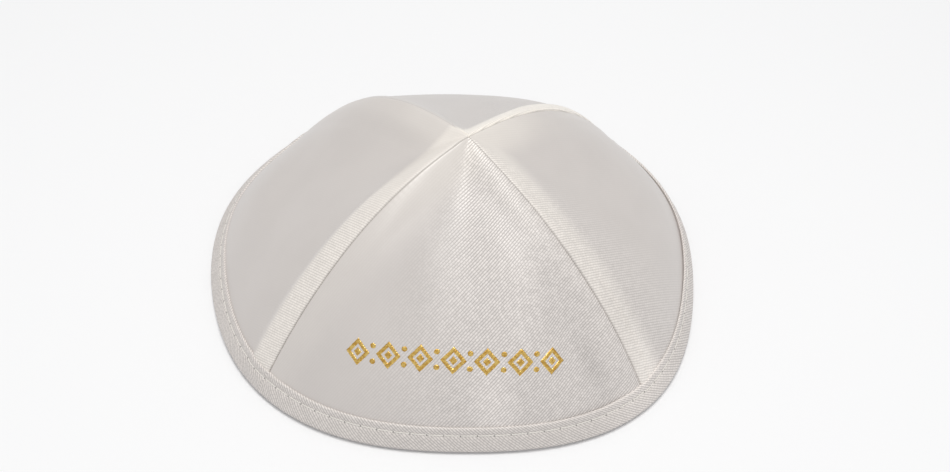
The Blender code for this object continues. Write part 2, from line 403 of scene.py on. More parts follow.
def add_node(tree, kind, **values):
    """A node with its settings and the values of its unlinked sockets, given by name."""
    node = tree.nodes.new(kind)
    for key, value in values.items():
        if key in node.inputs:
            node.inputs[key].default_value = value
        else:
            setattr(node, key, value)
    return node


def feed(tree, socket, value):
    """Gives a node's socket a number, or links another node's output to it."""
    if isinstance(value, (int, float)):
        socket.default_value = value
    else:
        tree.links.new(value, socket)


def math_node(tree, operation, *values):
    """A Math node whose inputs are sockets or numbers."""
    node = add_node(tree, "ShaderNodeMath", operation=operation)
    for socket, value in zip(node.inputs, values):
        feed(tree, socket, value)
    return node.outputs[0]


def plus(tree, first, second):
    return math_node(tree, "ADD", first, second)


def times(tree, first, second):
    return math_node(tree, "MULTIPLY", first, second)


def scaled(tree, value, factor, added):
    """A value multiplied by a factor, with an amount added."""
    return math_node(tree, "MULTIPLY_ADD", value, factor, added)


def map_range(tree, value, first, last, start=0.0, end=1.0):
    """A smooth Map Range node from one span of a value to another."""
    node = add_node(tree, "ShaderNodeMapRange", interpolation_type="SMOOTHSTEP")
    tree.links.new(value, node.inputs["Value"])
    for name, limit in (("From Min", first), ("From Max", last), ("To Min", start), ("To Max", end)):
        feed(tree, node.inputs[name], limit)
    return node.outputs["Result"]


def joined(tree, x, y):
    """Two values as one vector."""
    node = tree.nodes.new("ShaderNodeCombineXYZ")
    tree.links.new(x, node.inputs[0])
    tree.links.new(y, node.inputs[1])
    return node.outputs[0]


def soft_noise(tree, x, y, scale, detail):
    """Soft noise over two values."""
    made = add_node(tree, "ShaderNodeTexNoise", noise_dimensions="2D", Scale=scale, Detail=detail)
    tree.links.new(joined(tree, x, y), made.inputs["Vector"])
    return made.outputs["Fac"]


def chance_value(tree, x, y):
    """One random value from 0 to 1 for each pair of values."""
    made = add_node(tree, "ShaderNodeTexWhiteNoise", noise_dimensions="2D")
    tree.links.new(joined(tree, x, y), made.inputs["Vector"])
    return made.outputs["Value"]


def mapped(tree, name):
    """A piece's named map."""
    return add_node(tree, "ShaderNodeUVMap", uv_map=name).outputs["UV"]


def split(tree, vector):
    """The first two values of a vector."""
    parts = tree.nodes.new("ShaderNodeSeparateXYZ")
    tree.links.new(vector, parts.inputs[0])
    return parts.outputs["X"], parts.outputs["Y"]


def vector_length(tree, vector):
    """The length of a vector."""
    node = add_node(tree, "ShaderNodeVectorMath", operation="LENGTH")
    tree.links.new(vector, node.inputs[0])
    return node.outputs["Value"]


def new_group(name, inputs, outputs):
    """A shader node group with its named number sockets, and its nodes for what goes in and out."""
    group = bpy.data.node_groups.new(name, "ShaderNodeTree")
    for socket, default in inputs.items():
        made = group.interface.new_socket(socket, in_out="INPUT", socket_type="NodeSocketFloat")
        made.default_value = default
    for socket in outputs:
        group.interface.new_socket(socket, in_out="OUTPUT", socket_type="NodeSocketFloat")
    return group, group.nodes.new("NodeGroupInput").outputs, group.nodes.new("NodeGroupOutput").inputs


# The weave, in millimetres and in degrees from a gore's middle line: its ribs, the floats that they are
# broken into, how the ribs waver, and the soft toning of the cloth
RIB_PITCH = 0.88
RIB_ANGLE = 37
RIGHT_RIB_ANGLE = -28
RIB_ROUNDNESS = 2.2
FLOAT_LENGTH = 1.25
FLOAT_END_POWER = 5.0
FLOAT_END_DEPTH = 0.50
FLOAT_UNEVEN = 0.3
START_SPREAD = 0.37
RAGGEDNESS = 0.5
GORE_RAGGEDNESS = 0.16
WAVER_SCALE = 0.8
WAVER_STRETCH = 0.3
TONING_SCALE = 0.05
TONING_SPAN = (0.3, 0.7)


def satin_group():
    """Satin: rounded ribs broken into short floats. Gives height, the valleys between and uneven tones."""
    inputs = {"Rib pitch": RIB_PITCH, "Rib angle": 0.0, "Float length": FLOAT_LENGTH,
              "Raggedness": RAGGEDNESS}
    group, inside, outside = new_group("satin weave", inputs, ("Height", "Valley", "Float tone", "Toning"))
    link = group.links.new

    def off_middle(value):
        """How far a value lies from the middle between two whole numbers, from 0 to 1."""
        return math_node(group, "ABSOLUTE", scaled(group, math_node(group, "FRACT", value), 2.0, -1.0))

    turn = add_node(group, "ShaderNodeVectorRotate", rotation_type="Z_AXIS")
    link(mapped(group, "cloth"), turn.inputs["Vector"])
    link(inside["Rib angle"], turn.inputs["Angle"])
    over, along = split(group, turn.outputs[0])
    over = times(group, over, 1000.0)
    along = times(group, along, 1000.0)

    waver = soft_noise(group, over, times(group, along, WAVER_STRETCH), WAVER_SCALE, 2.0)
    waver = math_node(group, "SUBTRACT", waver, 0.5)
    waver = times(group, waver, inside["Raggedness"])
    ribs = plus(group, math_node(group, "DIVIDE", over, inside["Rib pitch"]), waver)
    rib = math_node(group, "FLOOR", ribs)
    rounded = math_node(group, "SUBTRACT", 1.0, math_node(group, "POWER", off_middle(ribs), RIB_ROUNDNESS))

    start = chance_value(group, rib, times(group, rib, START_SPREAD))
    floats = plus(group, math_node(group, "DIVIDE", along, inside["Float length"]), start)
    tone = chance_value(group, rib, math_node(group, "FLOOR", floats))
    ends = math_node(group, "POWER", off_middle(floats), FLOAT_END_POWER)
    height = times(group, rounded, scaled(group, ends, -FLOAT_END_DEPTH, 1.0))
    uneven = scaled(group, tone, FLOAT_UNEVEN, 1 - FLOAT_UNEVEN)
    link(times(group, height, uneven), outside["Height"])
    link(math_node(group, "SUBTRACT", 1.0, height), outside["Valley"])
    link(tone, outside["Float tone"])
    link(soft_noise(group, over, along, TONING_SCALE, 3.0), outside["Toning"])
    return group


# The cloth along a seam: how white it is far down and at the crown where it lies double, with a painted
# highlight there, how wide that shows, how softly it ends, and how dark the painted shade line in the seam
# is
Edge = namedtuple("Edge", "white crown width fade line")
# In metres: the painted shade line in a seam by its distance from the seam, and by the distance from the
# crown on the flat cut, where a strip's whiteness and painted highlight change and where its ribs come in
SEAM_SHADE_LINE = (0.00010, 0.00034)
CROWN_TO_STRIP = (0.010, 0.055)
STRIP_RIBS_FROM_CROWN = (0.018, 0.060)
# How clearly a strip's ribs show near the crown and far down, and how white it has to be for them
STRIP_RIBS_SHOWN = (0.06, 0.62)
DOUBLED_ENOUGH = (0.15, 0.42)


def allowance_group():
    """Where a gore lies double over its seam allowances with a painted highlight, how clearly its ribs show
    across its width, and its painted seam shade.
    """
    sides = ("First", "Second")
    names = [f"{side} {part}" for side in sides for part in Edge._fields]
    names += ["Shown from", "Shown to", "Shown there", "Shown elsewhere"]
    group, inside, outside = new_group("seam allowances", dict.fromkeys(names, 0.0),
                                       ("Allowance and highlight", "Ribs shown", "Seam shade line"))
    distances = split(group, mapped(group, "seams"))
    reach = vector_length(group, mapped(group, "cloth"))
    doubled, lines = [], []
    for side, distance in zip(sides, distances):
        width = inside[f"{side} width"]
        inner = math_node(group, "SUBTRACT", width, inside[f"{side} fade"])
        near = map_range(group, distance, inner, width, 1.0, 0.0)
        white = map_range(group, reach, *CROWN_TO_STRIP, inside[f"{side} crown"], inside[f"{side} white"])
        doubled.append(times(group, near, white))
        line = map_range(group, distance, *SEAM_SHADE_LINE, 1.0, 0.0)
        lines.append(times(group, line, inside[f"{side} line"]))
    allowance = math_node(group, "MAXIMUM", *doubled)
    group.links.new(allowance, outside["Allowance and highlight"])
    group.links.new(math_node(group, "MAXIMUM", *lines), outside["Seam shade line"])

    whole = plus(group, plus(group, *distances), 1e-5)
    across = math_node(group, "DIVIDE", distances[0], whole)
    shown = map_range(group, across, inside["Shown from"], inside["Shown to"],
                      inside["Shown elsewhere"], inside["Shown there"])
    low_down = map_range(group, reach, *STRIP_RIBS_FROM_CROWN, *STRIP_RIBS_SHOWN)
    on_strips = times(group, map_range(group, allowance, *DOUBLED_ENOUGH), low_down)
    group.links.new(math_node(group, "MAXIMUM", shown, on_strips), outside["Ribs shown"])
    return group


SATIN = satin_group()
ALLOWANCES = allowance_group()


def set_inputs(node, **values):
    """Sets a node's own sockets, given by name."""
    for name, value in values.items():
        node.inputs[name.replace("_", " ")].default_value = value


def placed(tree, group, **values):
    """What a node group puts out in a material's tree, with its named values."""
    node = tree.nodes.new("ShaderNodeGroup")
    node.node_tree = group
    set_inputs(node, **values)
    return node.outputs


def toned_colour(tree, colour, scale):
    """A colour, plain or from a node, multiplied by a value that changes over the surface."""
    tint = add_node(tree, "ShaderNodeMix", data_type="RGBA", blend_type="MULTIPLY")
    tint.inputs[0].default_value = 1
    if isinstance(colour, tuple):
        tint.inputs[6].default_value = (*colour, 1)
    else:
        tree.links.new(colour, tint.inputs[6])
    grey = tree.nodes.new("ShaderNodeCombineColor")
    for channel in range(3):
        tree.links.new(scale, grey.inputs[channel])
    tree.links.new(grey.outputs[0], tint.inputs[7])
    return tint.outputs[2]


def mixed_colour(tree, share, first, second):
    """From one colour to another as a value goes from 0 to 1."""
    mix = add_node(tree, "ShaderNodeMix", data_type="RGBA")
    mix.inputs[6].default_value = (*first, 1)
    mix.inputs[7].default_value = (*second, 1)
    tree.links.new(share, mix.inputs[0])
    return mix.outputs[2]


def raise_surface(tree, shader, height, distance, strength=1.0):
    """Raises a surface in its shading by a height from 0 to 1 over a distance."""
    bump = add_node(tree, "ShaderNodeBump", Strength=strength, Distance=distance)
    tree.links.new(height, bump.inputs["Height"])
    tree.links.new(bump.outputs[0], shader.inputs["Normal"])


def satin_gloss(shader, roughness):
    """What all the satin has in common, set on the shader's own sockets."""
    set_inputs(shader, Roughness=roughness, Specular_IOR_Level=0.7, Sheen_Weight=0.02, Sheen_Roughness=0.4)


SATIN_WHITE = (0.616, 0.580, 0.560)
# Where the cloth lies double it is whiter, partly as a painted highlight
DOUBLE_AND_HIGHLIGHT_WHITE = (0.95, 0.90, 0.83)
REVERSE_WHITE = (0.60, 0.585, 0.56)
# The ribs stand this many metres high, and painted shade darkens their valleys without darkening the whole
RIB_HEIGHT = 0.00010
VALLEY_SHADE = 0.60
MEAN_VALLEY = 0.45
# Painted glints on the floats
GLINT = 0.16
GORE_TONING = (1.012, 0.988)
# Painted shade in the seams
SEAM_SHADE = 0.24
REVERSE_SHADE = 0.12
REVERSE_TONING = (1.02, 0.98)

# A gore's two edges, the shares of its width between which its ribs come in, how clearly they show there
# and elsewhere, its tone, and the angle of its ribs
Show = namedtuple("Show", "gore first second ribs_from ribs_to there elsewhere tone rib_angle")
SHOWS = (
    Show("front", Edge(0.12, 0.34, 0.016, 0.013, 0.8), Edge(0.04, 0.14, 0.010, 0.006, 1.0),
         0.22, 0.58, 0.95, 0.06, 1.0, RIB_ANGLE),
    Show("right", Edge(0.33, 0.44, 0.015, 0.009, 0.5), Edge(0.06, 0.44, 0.014, 0.010, 1.0),
         0.46, 0.14, 0.62, 0.05, 1.0, RIGHT_RIB_ANGLE),
    Show("back", Edge(0.82, 1.00, 0.009, 0.004, 0.3), Edge(0.02, 0.12, 0.010, 0.006, 0.0),
         0.60, 0.10, 0.50, 0.08, 0.95, RIB_ANGLE),
    Show("left", Edge(0.10, 0.25, 0.016, 0.014, 0.0), Edge(0.43, 0.56, 0.012, 0.005, 0.8),
         0.75, 1.00, 0.10, 0.03, 1.0, RIB_ANGLE),
)
# Places on a gore's flat cut painted lighter or darker, as painted highlights and painted shade
PaintedLightPatch = namedtuple("PaintedLightPatch", "gore x y turn half_width half_length tone")
PAINTED_LIGHT_PATCHES = (
    PaintedLightPatch("front", -0.013, -0.055, -14, 0.012, 0.036, -0.060),
    PaintedLightPatch("front", 0.013, -0.094, 12, 0.011, 0.022, 0.150),
    PaintedLightPatch("front", 0.021, -0.067, -4, 0.008, 0.024, 0.045),
    PaintedLightPatch("front", -0.006, -0.028, 10, 0.007, 0.018, -0.070),
    PaintedLightPatch("front", 0.044, -0.101, 23, 0.014, 0.009, -0.055),
    PaintedLightPatch("front", 0.015, -0.050, 12, 0.009, 0.022, 0.045),
    PaintedLightPatch("front", 0.0445, -0.079, 25, 0.0065, 0.026, -0.110),
    PaintedLightPatch("front", -0.008, -0.021, -20, 0.006, 0.018, 0.050),
    PaintedLightPatch("front", 0.006, -0.020, 16, 0.005, 0.020, 0.060),
    PaintedLightPatch("right", -0.060, -0.094, -25, 0.010, 0.028, 0.130),
    PaintedLightPatch("left", 0.066, -0.100, 30, 0.012, 0.014, -0.060),
)


def painted_light_patch(tree, light_patch):
    """What one patch of painted highlight or painted shade adds to the satin's tone, or takes from it."""
    place = add_node(tree, "ShaderNodeMapping", vector_type="TEXTURE",
                     Location=(light_patch.x, light_patch.y, 0), Rotation=(0, 0, math.radians(light_patch.turn)),
                     Scale=(light_patch.half_width, light_patch.half_length, 1))
    tree.links.new(mapped(tree, "cloth"), place.inputs["Vector"])
    return map_range(tree, vector_length(tree, place.outputs[0]), 0.0, 1.0, light_patch.tone, 0.0)


def gore_satin(show):
    """White satin of one gore: whiter where it lies double and with a painted highlight there, with painted
    shade on its ribs where the light catches them and in its seams, and patches of painted light and shade.
    """
    made, tree, shader = new_material(f"satin_{show.gore}")
    weave = placed(tree, SATIN, Rib_pitch=RIB_PITCH, Rib_angle=math.radians(show.rib_angle),
                   Raggedness=GORE_RAGGEDNESS)
    edges = {f"{side} {part}": getattr(edge, part) for part in Edge._fields
             for side, edge in (("First", show.first), ("Second", show.second))}
    lie = placed(tree, ALLOWANCES, Shown_from=show.ribs_from, Shown_to=show.ribs_to,
                 Shown_there=show.there, Shown_elsewhere=show.elsewhere, **edges)
    toning_and_painted_light = map_range(tree, weave["Toning"], *TONING_SPAN, *GORE_TONING)
    # Patches of painted highlight and painted shade
    for light_patch in PAINTED_LIGHT_PATCHES:
        if light_patch.gore == show.gore:
            toning_and_painted_light = plus(tree, toning_and_painted_light, painted_light_patch(tree, light_patch))
    # Painted glints on the floats and painted shade in the rib valleys
    glint = scaled(tree, weave["Float tone"], GLINT, -GLINT / 2)
    ribbed = scaled(tree, weave["Valley"], -VALLEY_SHADE, VALLEY_SHADE * MEAN_VALLEY)
    shade = times(tree, plus(tree, ribbed, glint), lie["Ribs shown"])
    scale = times(tree, toning_and_painted_light, plus(tree, shade, show.tone))
    # Painted shade in the seams
    line = scaled(tree, lie["Seam shade line"], -SEAM_SHADE, 1.0)
    scale = times(tree, scale, line)
    whiteness_and_highlight = mixed_colour(tree, lie["Allowance and highlight"], SATIN_WHITE, DOUBLE_AND_HIGHLIGHT_WHITE)
    tree.links.new(toned_colour(tree, whiteness_and_highlight, scale), shader.inputs["Base Color"])
    raised = times(tree, weave["Height"], lie["Ribs shown"])
    raise_surface(tree, shader, raised, RIB_HEIGHT)
    satin_gloss(shader, 0.36)
    return made


def satin_reverse():
    """The dull reverse of the satin, which is all that the inside shows."""
    made, tree, shader = new_material("satin_reverse")
    weave = placed(tree, SATIN, Rib_pitch=RIB_PITCH, Rib_angle=math.radians(-RIB_ANGLE))
    # Painted shade in the rib valleys
    scale = scaled(tree, weave["Valley"], -REVERSE_SHADE, 1.0)
    scale = times(tree, scale, map_range(tree, weave["Toning"], *TONING_SPAN, *REVERSE_TONING))
    tree.links.new(toned_colour(tree, REVERSE_WHITE, scale), shader.inputs["Base Color"])
    raise_surface(tree, shader, weave["Height"], RIB_HEIGHT, strength=0.6)
    set_inputs(shader, Roughness=0.8)
    return made


REVERSE = satin_reverse()
for gore, show in enumerate(SHOWS):
    piece = add_mesh(f"gore_{show.gore}", (gore_satin(show), REVERSE), *build_gore(gore))
    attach(piece, "root")
    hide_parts(f"panel_{show.gore}")

# Rim binding
# A strip of the same satin, cut on the bias and folded over the lower edge of the cap, inside and out.
# One row of stitches below its upper edge holds it, and the tape puckers a little between them.
BINDING_HEIGHT = 0.0090
TAPE_LIE = 0.0009
TAPE_EDGE = 0.0006
TAPE_BELLY = 0.0005
TAPE_PINCH = 0.0003
TAPE_PINCH_REACH = 0.0006
FOLD_DEPTH = 0.0012
FOLD_ZONE = 0.004
STRIP_UNDER_TAPE = 0.6
STITCH_DOWN = 0.0030
STITCH_HEIGHT = BINDING_HEIGHT - STITCH_DOWN
STITCH_LENGTH = 0.0060
PUCKER = 0.00012
PUCKER_SLANT = 50

# The tape is folded a little lower on the left, and its upper lip stands off the cloth on the right
LOW_SIDE = math.radians(160)
LOW_SIDE_REACH = math.radians(48)
LOW_SIDE_SHARE = 0.22
LIP_FLARE = 0.0024
LIP_GAP = 0.00001
LIP_WIDE_GAP = 0.00055
LIP_WIDE_FROM, LIP_WIDE_TO = math.radians(-42), math.radians(62)
LIP_ROWS = ((0.0010, 0.05), (0.0005, 0.5), (0.0001, 0.9))

BINDING_COLUMNS = 1200
EDGE_STEPS = 5
EDGE_SHARE = 0.035
WALL_STEPS = 22
FOLD_STEPS = 10
SLOPE_STEPS = 200


def round_rim():
    """Even places across each gore at the edge, their running length round the rim, and all its length."""
    across = np.linspace(-1, 1, BINDING_COLUMNS // len(GORES) + 1)[:-1]
    edge = np.concatenate([dome(gore, across, np.ones_like(across)) for gore in range(len(GORES))])
    run = np.concatenate(([0], np.cumsum(np.linalg.norm(np.diff(edge, axis=0), axis=1))))
    return across, run, run[-1] + np.linalg.norm(edge[0] - edge[-1])


RIM_ACROSS, RIM_RUN, RIM_LENGTH = round_rim()
STITCHES = round(RIM_LENGTH / STITCH_LENGTH)


def tape_profile(up):
    """Distance of the tape's outer face from the cloth, for a height up the wall."""
    edge = np.clip((BINDING_HEIGHT - up) / TAPE_EDGE, 0, 1)
    below = np.clip((STITCH_HEIGHT - up) / STITCH_HEIGHT, 0, 1)
    pinch = np.exp(-((up - STITCH_HEIGHT) / TAPE_PINCH_REACH)**2)
    lie = TAPE_LIE * np.sqrt(1 - (1 - edge)**2)
    return lie + TAPE_BELLY * np.sin(math.pi / 2 * below) - TAPE_PINCH * pinch


def tape_heights(gore, up):
    """Share of the way down from the crown at which a height on the tape lies, round one gore."""
    if up <= 0:
        return np.ones_like(RIM_ACROSS)
    edge = dome(gore, RIM_ACROSS, np.ones_like(RIM_ACROSS))
    away = np.abs(np.arctan2(edge[:, 1], edge[:, 0]) - LOW_SIDE)
    away = np.minimum(away, 2 * math.pi - away)
    low = LOW_SIDE_SHARE * np.cos(math.pi / 2 * np.clip(away / LOW_SIDE_REACH, 0, 1))**2
    steps = np.linspace(1, 0, SLOPE_STEPS + 1)
    points = dome(gore, RIM_ACROSS[:, None], steps)
    run = np.cumsum(np.linalg.norm(np.diff(points, axis=1), axis=2), axis=1)
    return np.array([np.interp(up * (1 - share), line, steps[1:]) for line, share in zip(run, low)])


def lip_gap(point, outside):
    """How far the tape's upper edge stands off the cloth: outside it stands off more on the right."""
    if not outside:
        return LIP_GAP
    angle = np.arctan2(point[:, 1], point[:, 0])
    share = np.clip((angle - LIP_WIDE_FROM) / (LIP_WIDE_TO - LIP_WIDE_FROM), 0, 1)
    return LIP_GAP + (LIP_WIDE_GAP - LIP_GAP) * np.sin(math.pi * share)**2


def tape_row(outside, up, lift_of, *values):
    """Points round the tape at a height, lifted off the cloth, with their normals away from the cloth."""
    points, normals = [], []
    for gore in range(len(GORES)):
        point, normal = faces_of(gore, RIM_ACROSS, tape_heights(gore, up))
        lift = lift_of(gore, point, *values)
        offset = lift if outside else -CLOTH - lift
        points.append(point + normal * offset[:, None])
        normals.append(normal if outside else -normal)
    return np.concatenate(points), np.concatenate(normals)


def wall_lift(gore, point, outside, up):
    """How far the tape's face stands off the cloth, with its lip and the puckers between its stitches."""
    count = len(RIM_ACROSS)
    along = RIM_RUN[gore * count:(gore + 1) * count]
    wave = np.cos(2 * math.pi * (along / RIM_LENGTH * STITCHES + PUCKER_SLANT * up))
    below = np.clip(1 - up / STITCH_HEIGHT, 0, 1)
    lift = tape_profile(up) + STRIP_UNDER_TAPE * strip_relief(gore, point) * smooth(up / FOLD_ZONE)
    lift = lift + PUCKER * wave * np.sin(math.pi * np.minimum(below + 0.1, 1))
    return lift + lip_gap(point, outside) * smooth((up - BINDING_HEIGHT) / LIP_FLARE + 1)


def hidden_lift(gore, point, outside, share):
    """How far the turned-in edge behind the tape's lip stands off the cloth."""
    return share * lip_gap(point, outside) + STRIP_UNDER_TAPE * strip_relief(gore, point)


def tape_wall(outside):
    """One face of the binding as rows of points: its turned-in edge, then from its lip to the fold."""
    rows = []
    for down, share in LIP_ROWS:
        rows.append(tape_row(outside, BINDING_HEIGHT - down, hidden_lift, outside, share)[0])
    edge = 1 - np.linspace(0, 1, EDGE_STEPS + 1)[:-1]**2 * EDGE_SHARE
    wall = np.linspace(1 - EDGE_SHARE, 0, WALL_STEPS)
    for up in BINDING_HEIGHT * np.concatenate((edge, wall)):
        rows.append(tape_row(outside, up, wall_lift, outside, up)[0])
    return np.array(rows)


def fold_rows(outer_edge, inner_edge):
    """The rounded fold under the cloth's edge."""
    middle = (outer_edge + inner_edge) / 2
    half = (outer_edge - inner_edge) / 2
    rows = []
    for turn in np.linspace(0, math.pi, FOLD_STEPS + 1)[1:-1]:
        row = middle + half * math.cos(turn)
        row[:, 2] -= FOLD_DEPTH * math.sin(turn)
        rows.append(row)
    return np.array(rows)


def build_binding():
    """Points, quads and map of the closed ring of tape, pressed flat where it stands on the floor."""
    outer, inner = tape_wall(True), tape_wall(False)
    section = np.concatenate((outer, fold_rows(outer[-1], inner[-1]), inner[::-1]))
    section[..., 2] = np.maximum(section[..., 2], 0)
    # the first column is repeated at the end, so that the flat coordinates run on without a jump
    section = np.concatenate((section, section[:, :1]), 1)
    run = np.append(RIM_RUN, RIM_LENGTH)
    down = np.concatenate(([0], np.cumsum(np.linalg.norm(np.diff(section[:, 0], axis=0), axis=1))))
    down = down - down[len(LIP_ROWS)]
    flat = np.stack(np.broadcast_arrays(run[None, :], -down[:, None]), -1).reshape(-1, 2)
    rows, columns = section.shape[:2]
    number = np.arange(rows * columns).reshape(rows, columns)
    top, last = number[0], number[-1]
    closing = np.stack((top[:-1], top[1:], last[1:], last[:-1]), -1)
    faces = np.concatenate((grid_faces(rows, columns), closing))
    return section.reshape(-1, 3), faces, {"cloth": flat}


TAPE_WHITE = (0.605, 0.568, 0.545)
TAPE_RIB_ANGLE = -48
TAPE_FLOAT_LENGTH = 1.6
TAPE_RAGGEDNESS = 0.25
TAPE_VALLEY_SHADE = 0.55
TAPE_TONE = 1.24
TAPE_GLINT = 0.10
# Needle holes, darkened by painted shade and dust, in millimetres from their middle: where they are
# darkest, and where they end
HOLE_SPAN = (0.12, 0.50)
HOLE_TONE = 0.45
HOLE_PAST_EDGE = 0.85
# The folded upper edge and the corner at the front right get a painted highlight, a little lighter
EDGE_HIGHLIGHT_SPAN = (-0.0012, -0.0002)
EDGE_HIGHLIGHT_TONE = 1.14
CORNER_HIGHLIGHT_REACH = 0.030
CORNER_HIGHLIGHT_TONE = 1.13


def needle_holes(tree, along, down):
    """The tape's tone round the needle holes, one at each end of a stitch, darkened by painted shade and
    dust.
    """
    beside = math_node(tree, "PINGPONG", times(tree, along, STITCHES / RIM_LENGTH), 0.5)
    beside = times(tree, beside, STITCH_LENGTH * 1000)
    below = scaled(tree, down, 1000.0, (STITCH_DOWN + HOLE_PAST_EDGE * TAPE_LIE) * 1000)
    squares = [math_node(tree, "POWER", side, 2.0) for side in (beside, below)]
    away = math_node(tree, "SQRT", plus(tree, *squares))
    return map_range(tree, away, *HOLE_SPAN, HOLE_TONE, 1.0)


def tape_satin():
    """The binding's satin, with its ribs on the bias, painted shade in their valleys, a needle hole
    darkened by painted shade and dust at each stitch's end, and painted highlights on its upper edge and
    front right corner.
    """
    made, tree, shader = new_material("satin_binding")
    weave = placed(tree, SATIN, Rib_pitch=RIB_PITCH, Rib_angle=math.radians(TAPE_RIB_ANGLE),
                   Float_length=TAPE_FLOAT_LENGTH, Raggedness=TAPE_RAGGEDNESS)
    along, down = split(tree, mapped(tree, "cloth"))
    # Painted shade in the rib valleys and painted glints on the floats
    ribbed = scaled(tree, weave["Valley"], -TAPE_VALLEY_SHADE, TAPE_TONE)
    glint = scaled(tree, weave["Float tone"], TAPE_GLINT, -TAPE_GLINT / 2)
    scale = times(tree, plus(tree, ribbed, glint), needle_holes(tree, along, down))
    # Painted highlights on the folded upper edge and at the front right corner
    scale = times(tree, scale, map_range(tree, down, *EDGE_HIGHLIGHT_SPAN, 1.0, EDGE_HIGHLIGHT_TONE))
    highlight_corner = float(RIM_RUN[len(RIM_ACROSS)])
    from_highlight_corner = math_node(tree, "ABSOLUTE", math_node(tree, "SUBTRACT", along, highlight_corner))
    scale = times(tree, scale, map_range(tree, from_highlight_corner, 0.0, CORNER_HIGHLIGHT_REACH, CORNER_HIGHLIGHT_TONE, 1.0))
    tree.links.new(toned_colour(tree, TAPE_WHITE, scale), shader.inputs["Base Color"])
    raise_surface(tree, shader, weave["Height"], RIB_HEIGHT)
    satin_gloss(shader, 0.45)
    return made


binding = add_mesh("rim_tape", (tape_satin(),), *build_binding())
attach(binding, "root")
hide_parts("rim_binding")

# Topstitching
# White sewing thread in one row of long lockstitches through the binding and the cloth. Each stitch
# lies on the tape and dives into it at both ends; the other thread shows the same way inside.
THREAD_RADIUS = 0.00019
THREAD_RINGS = 9
THREAD_SIDES = 6
THREAD_TWIST = 0.0008
THREAD_PLIES = 3.0
THREAD_PLY_DEPTH = 0.00004
THREAD_WHITE = (0.88, 0.855, 0.81)
THREAD_SHADE = 0.82
STITCH_SPAN = (0.04, 0.96)
# In radii of the thread: how far a stitch rises from its ends to its middle, and how deep they lie
STITCH_RISE = 2.2
STITCH_SUNK = 1.7


def stitch_lift(gore, point):
    """How far the tape's face stands off the cloth under the stitches."""
    return tape_profile(STITCH_HEIGHT) + STRIP_UNDER_TAPE * strip_relief(gore, point)


def stitch_row(outside):
    """Points, quads and map of one side's row of stitches, each a thin tube of its own."""
    row = [np.concatenate((part, part[:1])) for part in tape_row(outside, STITCH_HEIGHT, stitch_lift)]
    run = np.append(RIM_RUN, RIM_LENGTH)
    share = np.linspace(*STITCH_SPAN, THREAD_RINGS)
    arch = np.sqrt(np.clip(1 - (2 * share - 1)**6, 0, 1))
    turn = np.linspace(0, 2 * math.pi, THREAD_SIDES + 1)[:-1] - math.pi / 2
    rings, faces, maps = [], [], []
    for stitch in range(STITCHES):
        places = (stitch + share) / STITCHES * RIM_LENGTH
        centre, up_way = (np.stack([np.interp(places, run, line) for line in part.T], -1) for part in row)
        up_way = unit(up_way)
        centre = centre + up_way * (THREAD_RADIUS * (STITCH_RISE * arch - STITCH_SUNK))[:, None]
        way = unit(np.gradient(centre, axis=0))
        side = unit(np.cross(way, up_way))
        top = np.cross(side, way)
        round_way = side[:, None] * np.cos(turn)[None, :, None] + top[:, None] * np.sin(turn)[None, :, None]
        flat = np.broadcast_arrays(places[:, None], THREAD_RADIUS * turn[None, :])
        start = stitch * THREAD_RINGS * THREAD_SIDES
        faces.append(grid_faces(THREAD_RINGS, THREAD_SIDES, start, closed=True))
        rings.append((centre[:, None] + THREAD_RADIUS * round_way).reshape(-1, 3))
        maps.append(np.stack(flat, -1).reshape(-1, 2))
    return np.concatenate(rings), np.concatenate(faces), {"cloth": np.concatenate(maps)}


def thread_material():
    """White thread with a fine twist."""
    made, tree, shader = new_material("sewing_thread")
    along, round_it = split(tree, mapped(tree, "cloth"))
    along = math_node(tree, "DIVIDE", along, THREAD_TWIST)
    round_it = math_node(tree, "DIVIDE", round_it, 2 * math.pi * THREAD_RADIUS)
    # Painted shade between the plies of the twist
    ply = math_node(tree, "PINGPONG", scaled(tree, round_it, THREAD_PLIES, along), 0.5)
    scale = map_range(tree, ply, 0.0, 0.5, THREAD_SHADE, 1.0)
    tree.links.new(toned_colour(tree, THREAD_WHITE, scale), shader.inputs["Base Color"])
    raise_surface(tree, shader, ply, THREAD_PLY_DEPTH)
    set_inputs(shader, Roughness=0.5)
    return made


THREAD = thread_material()
for name, outside in (("stitches_outside", True), ("stitches_inside", False)):
    piece = add_mesh(name, (THREAD,), *stitch_row(outside))
    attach(piece, "root")

# Foil ornament
# A plain row of open lozenges and dots in gold foil, hot-stamped across the front gore above the
# binding. The foil is a thin film that takes the ribs of the satin, and its edges are a little ragged.
ROW_MIDDLE = (-0.0004, -0.0783)
ROW_TILT = math.radians(0.6)
ROW_STEP = 0.0104
ROW_COUNT = 7
LOZENGE = (0.0041, 0.0048)
LOZENGE_OPEN = 0.60
LOZENGE_HEART = 0.32
LOZENGE_STEPS = 10
DOT_RADIUS = 0.00095
DOT_RISE = 0.0027
DOT_STEPS = 16
FOIL_RINGS = 5
FOIL_ABOVE = 0.00010
FOIL_BELOW = 0.00008
FOIL_RAGGED = 0.00005
DULL_GOLD = (0.62, 0.36, 0.075)
BRIGHT_GOLD = (0.92, 0.65, 0.20)
MOTTLE_SCALE = 900.0


def place_on_gore(gore, flat):
    """Where points of a gore's flat cut come to lie: across and down, found by a few rounds."""
    rounds, usual_length = 25, 0.14
    length = np.hypot(flat[..., 0], flat[..., 1])
    turn = np.arctan2(flat[..., 0], -flat[..., 1])
    across = turn / HALF_GORE
    u = np.full_like(across, 0.7)
    for _ in range(rounds):
        u = np.clip(u + (length - slope_length(gore, across, u)) / usual_length, 0.01, 1)
        across = np.clip(turn * length / (crown_reach(dome(gore, across, u)) * HALF_GORE), -1, 1)
    return across, u


